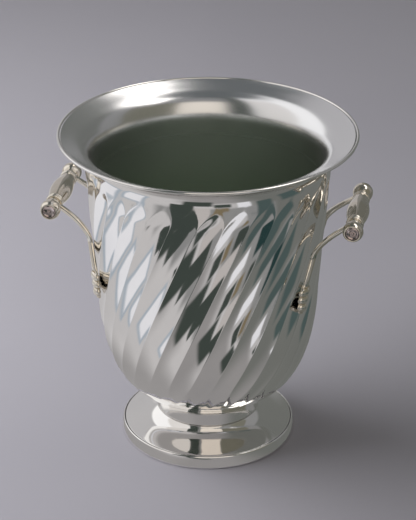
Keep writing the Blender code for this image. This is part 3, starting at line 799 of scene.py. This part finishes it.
SIDES = {"right": 1, "left": -1}
ENDS = {"back": 1, "front": -1}
for side_name, side in SIDES.items():
    grip = lay_along_handle(turned(eased(grip_outline(), 0.2 * MM), ROUND_MEDIUM), side, 1)
    add_piece(f"{side_name}_grip", grip, cast)
    for end_name, end in ENDS.items():
        ring = lay_along_handle(turned(ring_outline(), ROUND_TINY), side, end)
        ball = lay_along_handle(turned(eased(finial_outline(), 0.25 * MM), ROUND_MEDIUM), side, end)
        button = lay_along_handle(turned(eased(button_outline(), 0.2 * MM), ROUND_TINY), side, end)
        add_piece(f"{side_name}_ring_{end_name}", ring, cast)
        add_piece(f"{side_name}_finial_{end_name}", ball, cast)
        add_piece(f"{side_name}_button_{end_name}", button, brass)

# %% [markdown]
# ## Arms
#
# A cast arm leaves its eye as a slim bar with a ridge along its back, widens like a leaf, lands
# flat on the shell and ends in three rounded ribs. It is a sweep: one cross-section carried along
# a path, with its width and depth changing on the way. The eye is joined on by a Boolean, since
# the real one is a single casting.

# %% Plan the arm's path
ARM_LAND_DROP = 25.0 * MM
ARM_LAND_SPREAD = 3.7 * MM
ARM_TIP_SPREAD = 12.5 * MM
ARM_LEAF_WIDTH = 7.2 * MM
ARM_THICKNESS = 3.8 * MM
ARM_LEAVE_PULL = 10.0 * MM
ARM_LEAVE_SLOPE = 0.6
ARM_LAND_PULL = 9.0 * MM
STRAP_WIDTH = 6.6 * MM
RIB_COUNT = 3
RIB_LENGTH = 6.0 * MM
RIB_WIDTH = 13.0 * MM
RIB_RISE = 1.5 * MM
RIB_NARROWING = 1.6 * MM
RIB_VALLEY = 0.6 * MM                 # how far the metal dips between two ribs
STRAP_WAIST = 0.5 * MM
LEAF_END = 4 * MM                     # below the landing, where the leaf has become the strap
TIP_WIDTH = 3.5 * MM
EYE_WALL = 2.7 * MM
ARM_STEPS = 30
STRAP_STEPS = 16
RIB_STEPS = 9

eye_radius = bore + EYE_WALL
eye_middle = (ring_high.y + finial_low.y) / 2
eye_thickness = finial_low.y - ring_high.y - 2 * GAP
tip_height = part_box("right_arm_back")[0].z


def wall_at(height):
    """Radius of the shell over its ridges at a height, and the unit direction up its wall."""
    for upper, lower in zip(wall, wall[1:]):
        if upper.y >= height >= lower.y:
            share = (upper.y - height) / (upper.y - lower.y)
            return upper.x + (lower.x - upper.x) * share, (upper - lower).normalized()


def beside_wall(height, stand_off):
    """Radius of a point that stands off the shell by a distance square to it."""
    radius, up_wall = wall_at(height)
    return radius + stand_off / up_wall.y


def strap_shape(height, land_height, ribs_from):
    """Width and thickness of the part that lies on the shell, at a height."""
    if height > ribs_from:
        waist = math.sin(math.pi * (land_height - height) / (land_height - ribs_from))
        start = ramp(height, land_height - LEAF_END, land_height)
        return STRAP_WIDTH + (ARM_LEAF_WIDTH - STRAP_WIDTH) * start - STRAP_WAIST * waist, ARM_THICKNESS
    place = (ribs_from - height) / RIB_LENGTH
    rib = min(int(place), RIB_COUNT - 1)
    inside = place - rib
    width = RIB_WIDTH - RIB_NARROWING * rib
    if place < RIB_COUNT:
        swell = math.sin(math.pi * inside) ** 0.6
        thickness = ARM_THICKNESS - RIB_VALLEY + (RIB_RISE + RIB_VALLEY) * swell
        return width - RIB_NARROWING * 2 * (1 - swell), thickness
    tip_length = (ribs_from - tip_height) / RIB_LENGTH - RIB_COUNT
    fade = math.sqrt(max(0.0, 1 - (inside - 1) ** 2 / tip_length ** 2))
    return TIP_WIDTH + (width - RIB_NARROWING * 2 - TIP_WIDTH) * fade, ARM_THICKNESS * (0.45 + 0.4 * fade)


def arm_stations():
    """Angle round the bucket, distance, height, width and thickness all along an arm."""
    eye = Vector((handle_reach - eye_radius * 0.6, eye_middle, handle_height))
    land_height = handle_height - ARM_LAND_DROP
    land_radius = beside_wall(land_height, GAP + ARM_THICKNESS / 2)
    land_angle = math.asin((eye_middle + ARM_LAND_SPREAD) / land_radius)
    tip_angle = math.asin((eye_middle + ARM_TIP_SPREAD) / beside_wall(tip_height, 1.8 * MM))
    land = Vector((land_radius * math.cos(land_angle), land_radius * math.sin(land_angle), land_height))
    up_wall = wall_at(land_height)[1]
    above_land = Vector((up_wall.x * math.cos(land_angle), up_wall.x * math.sin(land_angle), up_wall.y))
    middle = interpolate_bezier(eye, eye + Vector((-ARM_LEAVE_PULL, 0, -ARM_LEAVE_PULL * ARM_LEAVE_SLOPE)),
                                land + above_land * ARM_LAND_PULL, land, ARM_STEPS)
    stations = []
    for index, point in enumerate(middle):
        leaf = ramp(index / (ARM_STEPS - 1), 0.05, 0.8)
        width = eye_thickness + (ARM_LEAF_WIDTH - eye_thickness) * leaf
        angle = math.atan2(point.y, point.x)
        stations.append((angle, math.hypot(point.x, point.y), point.z, width, ARM_THICKNESS))
    ribs_from = tip_height + RIB_COUNT * RIB_LENGTH + RIB_LENGTH / 2
    strap = range(1, STRAP_STEPS)
    heights = [land_height + (ribs_from - land_height) * step / STRAP_STEPS for step in strap]
    rib_total = RIB_STEPS * RIB_COUNT + RIB_STEPS // 2
    heights += [ribs_from + (tip_height - ribs_from) * step / rib_total for step in range(rib_total + 1)]
    for height in heights:
        width, thickness = strap_shape(height, land_height, ribs_from)
        share = (land_height - height) / (land_height - tip_height)
        angle = tip_angle + (land_angle - tip_angle) * (1 - share) ** 2
        stations.append((angle, beside_wall(height, GAP + thickness / 2), height, width, thickness))
    return stations


stations = arm_stations()
print(f"arm: {len(stations)} stations, the last one {1000 * stations[-1][2]:.0f} mm up")

# %% [markdown]
# The bar is flat behind and has a soft ridge in front, so that a line of light runs along it. The
# eye overlaps the bar's end on purpose, because a Boolean needs two solids that share some room.

# %% Build the arms
def bar_section():
    """Half-width and half-depth of the bar, as shares: flat behind, a soft ridge in front."""
    flank = bend(Vector((1.0, -0.3)), Vector((0.02, 0.5)), Vector((0.45, -0.16)), Vector((0.0, 1.0)), 7)
    back = [Vector((0.72, -1.0)), Vector((0.93, -0.82)), Vector((1.0, -0.55))]
    right = back + flank
    left = [Vector((-point.x, point.y)) for point in right[::-1]]
    return right + left[1:]


def swept_arm(section):
    """Carry the section along the arm's stations and close both ends."""
    places = [Vector((d * math.cos(a), d * math.sin(a), h)) for a, d, h, _, _ in stations]
    bm = bmesh.new()
    rings = []
    for index, (angle, distance, height, width, thickness) in enumerate(stations):
        run = places[min(index + 1, len(places) - 1)] - places[max(index - 1, 0)]
        across = Vector((-math.sin(angle), math.cos(angle), 0))
        out = run.cross(across).normalized()
        corners = [across * (point.x * width / 2) + out * (point.y * thickness / 2) for point in section]
        rings.append([bm.verts.new(places[index] + corner) for corner in corners])
    for upper, lower in zip(rings, rings[1:]):
        bridge(bm, upper, lower)
    bm.faces.new(rings[0])
    bm.faces.new(rings[-1])
    return bm


def arm_eye():
    """The round eye at the arm's top, which the tie rod passes through."""
    half = eye_thickness / 2
    outline = [Vector((radius, side)) for radius, side in
               ((eye_radius, half), (eye_radius, -half), (bore, -half), (bore, half))]
    bm = turned(eased(outline, 0.8 * MM), ROUND_TINY)
    place = Matrix.Translation((handle_reach, eye_middle, handle_height))
    bmesh.ops.transform(bm, matrix=place @ Matrix.Rotation(math.pi / 2, 4, "X"), verts=bm.verts)
    return bm


def mirrored(bm, side, end):
    """Flip the right back arm over to any of the four places."""
    bmesh.ops.scale(bm, vec=(side, end, 1), verts=bm.verts)
    return bm


def build_arm(node, side, end):
    """Join a bar and its eye into one casting."""
    arm = add_piece(node, mirrored(swept_arm(bar_section()), side, end), cast)
    eye_mesh = bpy.data.meshes.new(node + "_eye")
    eye_bm = mirrored(arm_eye(), side, end)
    bmesh.ops.remove_doubles(eye_bm, verts=eye_bm.verts, dist=WELD)
    bmesh.ops.recalc_face_normals(eye_bm, faces=eye_bm.faces)
    eye_bm.to_mesh(eye_mesh)
    eye_bm.free()
    eye_mesh.materials.append(cast)
    eye = bpy.data.objects.new(node + "_eye", eye_mesh)
    scene.collection.objects.link(eye)
    join = arm.modifiers.new("eye", "BOOLEAN")
    join.operation = "UNION"
    join.object = eye
    bpy.context.view_layer.update()
    whole = bpy.data.meshes.new_from_object(arm.evaluated_get(bpy.context.evaluated_depsgraph_get()))
    arm.modifiers.clear()
    arm.data = whole
    bpy.data.objects.remove(eye)
    whole.shade_smooth()
    whole.set_sharp_from_angle(angle=SMOOTH_ANGLE)


for side_name, side in SIDES.items():
    for end_name, end in ENDS.items():
        build_arm(f"{side_name}_arm_{end_name}", side, end)

# %% [markdown]
# ## Hidden fittings
#
# The bolt, nut, clamp plate, cork ring and tie rods are already the right shape, and they show
# only from below or between pieces. They keep their own meshes and take only a finish.

# %% Finish the fittings
FITTINGS = {
    "foot_bolt": (steel, "steel_fixing"),
    "foot_nut": (steel, "steel_fixing"),
    "foot_clamp_plate": (brass, "brass_backing"),
    "liner_seat_ring": (cork, "cork_seat"),
    "right_tie_rod": (brass, "brass_backing"),
    "left_tie_rod": (brass, "brass_backing"),
}
for node, (finish, slot) in FITTINGS.items():
    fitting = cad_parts[node]
    fitting.data.materials.clear()
    fitting.data.materials.append(finish)
print(len(FITTINGS), "fittings finished")

# %% [markdown]
# ## Floor
#
# A flat sheet of pale grey paper, so wide that its edge stays far outside the picture. A curved
# sweep would hide the edge from low views too, but a flat sheet is simpler and shades evenly. A
# slight mottle in its colour keeps it from looking computed.

# %% Build the floor
FLOOR_HALF = 6.0
FLOOR_DROP = 0.05 * MM
PAPER_TONES = ((0.305, 0.30, 0.33), (0.315, 0.31, 0.34))


def paper():
    finish, tree, shader = new_finish("paper", metallic=0.0)
    mottle = spread(tree, grain(tree, 300 * MM, detail=2.0), 0.0, 1.0)
    tree.links.new(two_tones(tree, mottle, *PAPER_TONES), shader.inputs["Base Color"])
    shader.inputs["Roughness"].default_value = 0.8
    shader.inputs["Specular IOR Level"].default_value = 0.2
    return finish


def build_floor():
    mesh = bpy.data.meshes.new("floor")
    corners = ((-1, -1), (1, -1), (1, 1), (-1, 1))
    places = [(x * FLOOR_HALF, y * FLOOR_HALF, -FLOOR_DROP) for x, y in corners]
    mesh.from_pydata(places, [], [(0, 1, 2, 3)])
    mesh.materials.append(paper())
    floor = bpy.data.objects.new("floor", mesh)
    scene.collection.objects.link(floor)


build_floor()
print(f"floor {2 * FLOOR_HALF:.0f} m wide")

# %% [markdown]
# ## The room that the silver sees
#
# Polished silver has no colour of its own to speak of: it is a picture of the room. Looked at
# from above, its walls mirror the table in front of it and what stands beyond. A card that only
# reflections can see lies round the bucket and carries that room, as a few bright and dark
# patches. Each is set by a bearing and a distance. The bearings count from the side where the
# camera stands at rest, but the card is fixed in the room and stays when the view turns.

# %% Paint the reflected room
CARD_INNER = 0.072
CARD_OUTER = 4.0
CARD_ANGLES = [math.tau * step / 96 for step in range(96)]


def dot_with(tree, vector, direction):
    node = tree.nodes.new("ShaderNodeVectorMath")
    node.operation = "DOT_PRODUCT"
    node.inputs[1].default_value = direction
    tree.links.new(vector, node.inputs[0])
    return node.outputs["Value"]


def bearing_of(tree, vector):
    """Degrees round from the camera's side, positive to the camera's right."""
    sideways = dot_with(tree, vector, camera_right)
    forward = dot_with(tree, vector, toward_camera)
    return math_node(tree, "MULTIPLY", math_node(tree, "ARCTAN2", sideways, forward), 180 / math.pi)


def between(tree, value, low, high, soft):
    """1 where a value lies between low and high, fading over soft."""
    rise = tree.nodes.new("ShaderNodeMapRange")
    fall = tree.nodes.new("ShaderNodeMapRange")
    for node, edge, ends in ((rise, low, (0.0, 1.0)), (fall, high, (1.0, 0.0))):
        node.interpolation_type = "SMOOTHSTEP"
        node.inputs["From Min"].default_value = edge - soft / 2
        node.inputs["From Max"].default_value = edge + soft / 2
        node.inputs["To Min"].default_value = ends[0]
        node.inputs["To Max"].default_value = ends[1]
        tree.links.new(value, node.inputs["Value"])
    return math_node(tree, "MULTIPLY", rise.outputs["Result"], fall.outputs["Result"])


def paint_patches(tree, base, bearing, reach, patches):
    """Lay patches over a base colour: bearings, reaches, colour and softness of each."""
    colour = tree.nodes.new("ShaderNodeRGB").outputs["Color"]
    colour.default_value = (*base, 1)
    for (from_bearing, to_bearing), (near, far), shade, (soft_bearing, soft_reach) in patches:
        inside = math_node(tree, "MULTIPLY", between(tree, bearing, from_bearing, to_bearing, soft_bearing),
                           between(tree, reach, near, far, soft_reach))
        mix = tree.nodes.new("ShaderNodeMix")
        mix.data_type = "RGBA"
        mix.inputs["B"].default_value = (*shade, 1)
        tree.links.new(inside, mix.inputs["Factor"])
        tree.links.new(colour, mix.inputs["A"])
        colour = mix.outputs["Result"]
    return colour


PALE_PAPER = (0.56, 0.545, 0.55)
SHADED_PAPER = (0.34, 0.33, 0.33)
SHADOW_PAPER = (0.30, 0.29, 0.29)
BRIGHT = (0.80, 0.80, 0.84)
PALE_BLUE = (0.40, 0.45, 0.51)
DIM = (0.165, 0.170, 0.160)
GREY = (0.27, 0.27, 0.27)
SLATE = (0.070, 0.100, 0.098)
TEAL = (0.020, 0.045, 0.045)
MOSS = (0.050, 0.062, 0.055)
ROSE_GREY = (0.50, 0.47, 0.46)
BROWN = (0.20, 0.16, 0.10)
TABLE_PATCHES = [
    ((-180, 180), (0.0, 0.15), SHADED_PAPER, (1, 0.08)),
    ((-26, 60), (0.0, 0.26), SHADOW_PAPER, (30, 0.08)),
    ((34, 178), (0.0, 5.0), DIM, (40, 0.1)),
    ((-46, 60), (0.37, 5.0), GREY, (10, 0.06)),
    ((-127, -86), (0.285, 0.48), PALE_BLUE, (4, 0.02)),
    ((-122, -91), (0.305, 0.46), BRIGHT, (4, 0.02)),
    ((-84, -57), (0.225, 0.42), PALE_BLUE, (3, 0.02)),
    ((-80, -61), (0.245, 0.40), BRIGHT, (3, 0.02)),
    ((-70, -53), (0.46, 0.90), MOSS, (2, 0.02)),
    ((-34, -12), (0.30, 0.52), MOSS, (2, 0.02)),
    ((-12, 2), (0.36, 0.62), ROSE_GREY, (3, 0.03)),
    ((-23, 4), (0.20, 0.32), MOSS, (5, 0.03)),
    ((2, 16), (0.48, 0.80), MOSS, (3, 0.03)),
    ((5, 20), (0.28, 0.35), MOSS, (3, 0.02)),
    ((6, 18), (0.36, 0.42), BROWN, (3, 0.03)),
    ((26, 38), (0.26, 0.37), BRIGHT, (3, 0.02)),
    ((44, 58), (0.29, 0.60), SLATE, (4, 0.04)),
    ((68, 94), (0.25, 0.40), SLATE, (6, 0.05)),
    ((22, 44), (0.46, 0.72), TEAL, (3, 0.03)),
]


def build_card():
    """A flat ring round the foot that only mirror rays can see."""
    finish = bpy.data.materials.new("reflected_room")
    finish.use_nodes = True
    tree = finish.node_tree
    tree.nodes.clear()
    place = tree.nodes.new("ShaderNodeTexCoord")
    reach = tree.nodes.new("ShaderNodeVectorMath")
    reach.operation = "LENGTH"
    tree.links.new(place.outputs["Object"], reach.inputs[0])
    bearing = bearing_of(tree, place.outputs["Object"])
    colour = paint_patches(tree, PALE_PAPER, bearing, reach.outputs["Value"], TABLE_PATCHES)
    glow = tree.nodes.new("ShaderNodeEmission")
    output = tree.nodes.new("ShaderNodeOutputMaterial")
    tree.links.new(colour, glow.inputs["Color"])
    tree.links.new(glow.outputs["Emission"], output.inputs["Surface"])
    bm = bmesh.new()
    level = [0] * len(CARD_ANGLES)
    inner = ring_at(bm, [CARD_INNER] * len(CARD_ANGLES), CARD_ANGLES, level)
    outer = ring_at(bm, [CARD_OUTER] * len(CARD_ANGLES), CARD_ANGLES, level)
    bridge(bm, inner, outer)
    mesh = bpy.data.meshes.new("reflection_card")
    bm.to_mesh(mesh)
    bm.free()
    mesh.materials.append(finish)
    card = bpy.data.objects.new("reflection_card", mesh)
    card.visible_camera = False
    card.visible_diffuse = False
    card.visible_shadow = False
    card.visible_transmission = False
    scene.collection.objects.link(card)


build_card()
print(len(TABLE_PATCHES), "patches on the card")

# %% [markdown]
# ## Room above the table
#
# The foot's dome and the liner look upwards, so they mirror the room's upper half: a dim
# ceiling, a tall window at the left, a low warm one in front and a skylight to the right and
# behind, with dark walls between. The room also fills the shadows. It is dulled for matt
# surfaces, so that the two soft lights shade the floor while the silver still sees all of it.

# %% Light the room
CEILING = (0.12, 0.13, 0.135)
WINDOW = (1.05, 1.04, 1.04)
NET_CURTAIN = (0.80, 0.77, 0.75)
WARM_WINDOW = (0.92, 0.84, 0.75)
BACK_WALL = (0.50, 0.49, 0.50)
OLIVE = (0.19, 0.185, 0.15)
SKYLIGHT = (2.6, 2.5, 2.4)
DULLED = 0.45                         # share of the room's light that matt surfaces miss
ROOM_PATCHES = [
    ((-180, 180), (-5, 48), GREY, (1, 12)),
    ((-26, 72), (30, 66), GREY, (8, 10)),
    ((-180, -140), (-5, 50), BACK_WALL, (2, 10)),
    ((-140, -47), (2, 66), WINDOW, (5, 8)),
    ((-98, -48), (2, 60), NET_CURTAIN, (8, 8)),
    ((-47, -23), (-5, 72), MOSS, (4, 8)),
    ((-17, 32), (2, 47), WARM_WINDOW, (3, 5)),
    ((33, 94), (-5, 47), OLIVE, (3, 6)),
    ((125, 168), (-5, 45), DIM, (8, 6)),
    ((60, 162), (52, 68), SKYLIGHT, (8, 6)),
]


def light_room():
    """Paint the room on the world, by bearing and height above the table's level."""
    world = bpy.data.worlds.new("room")
    world.use_nodes = True
    tree = world.node_tree
    scene.world = world
    place = tree.nodes.new("ShaderNodeTexCoord")
    split = tree.nodes.new("ShaderNodeSeparateXYZ")
    tree.links.new(place.outputs["Generated"], split.inputs["Vector"])
    rise = math_node(tree, "ARCSINE", split.outputs["Z"], 0.0)
    rise = math_node(tree, "MULTIPLY", rise, 180 / math.pi)
    bearing = bearing_of(tree, place.outputs["Generated"])
    colour = paint_patches(tree, CEILING, bearing, rise, ROOM_PATCHES)
    tree.links.new(colour, tree.nodes["Background"].inputs["Color"])
    rays = tree.nodes.new("ShaderNodeLightPath")
    dulled = math_node(tree, "MULTIPLY", rays.outputs["Is Diffuse Ray"], DULLED)
    strength = math_node(tree, "SUBTRACT", 1.0, dulled)
    tree.links.new(strength, tree.nodes["Background"].inputs["Strength"])


def soft_light(name, bearing, rise, distance, size, power, colour):
    """A square soft light aimed at the bucket from a bearing and a rise in degrees."""
    lamp = bpy.data.lights.new(name, "AREA")
    lamp.energy = power
    lamp.size = size
    lamp.color = colour
    light = bpy.data.objects.new(name, lamp)
    turn = math.radians(bearing)
    level = toward_camera * math.cos(turn) + camera_right * math.sin(turn)
    away = level * math.cos(math.radians(rise)) + Vector((0, 0, math.sin(math.radians(rise))))
    light.location = Vector((0, 0, AIM_HEIGHT)) + away * distance
    light.rotation_euler = away.to_track_quat("Z", "Y").to_euler()
    light.visible_glossy = False
    scene.collection.objects.link(light)


light_room()
soft_light("window_light", -98, 27, 1.0, 1.25, 22.5, (0.985, 0.975, 1.0))
soft_light("fill_light", -150, 55, 2.2, 1.2, 3, (0.97, 0.98, 1.0))
scene.view_settings.view_transform = "Standard"
print("room lit")
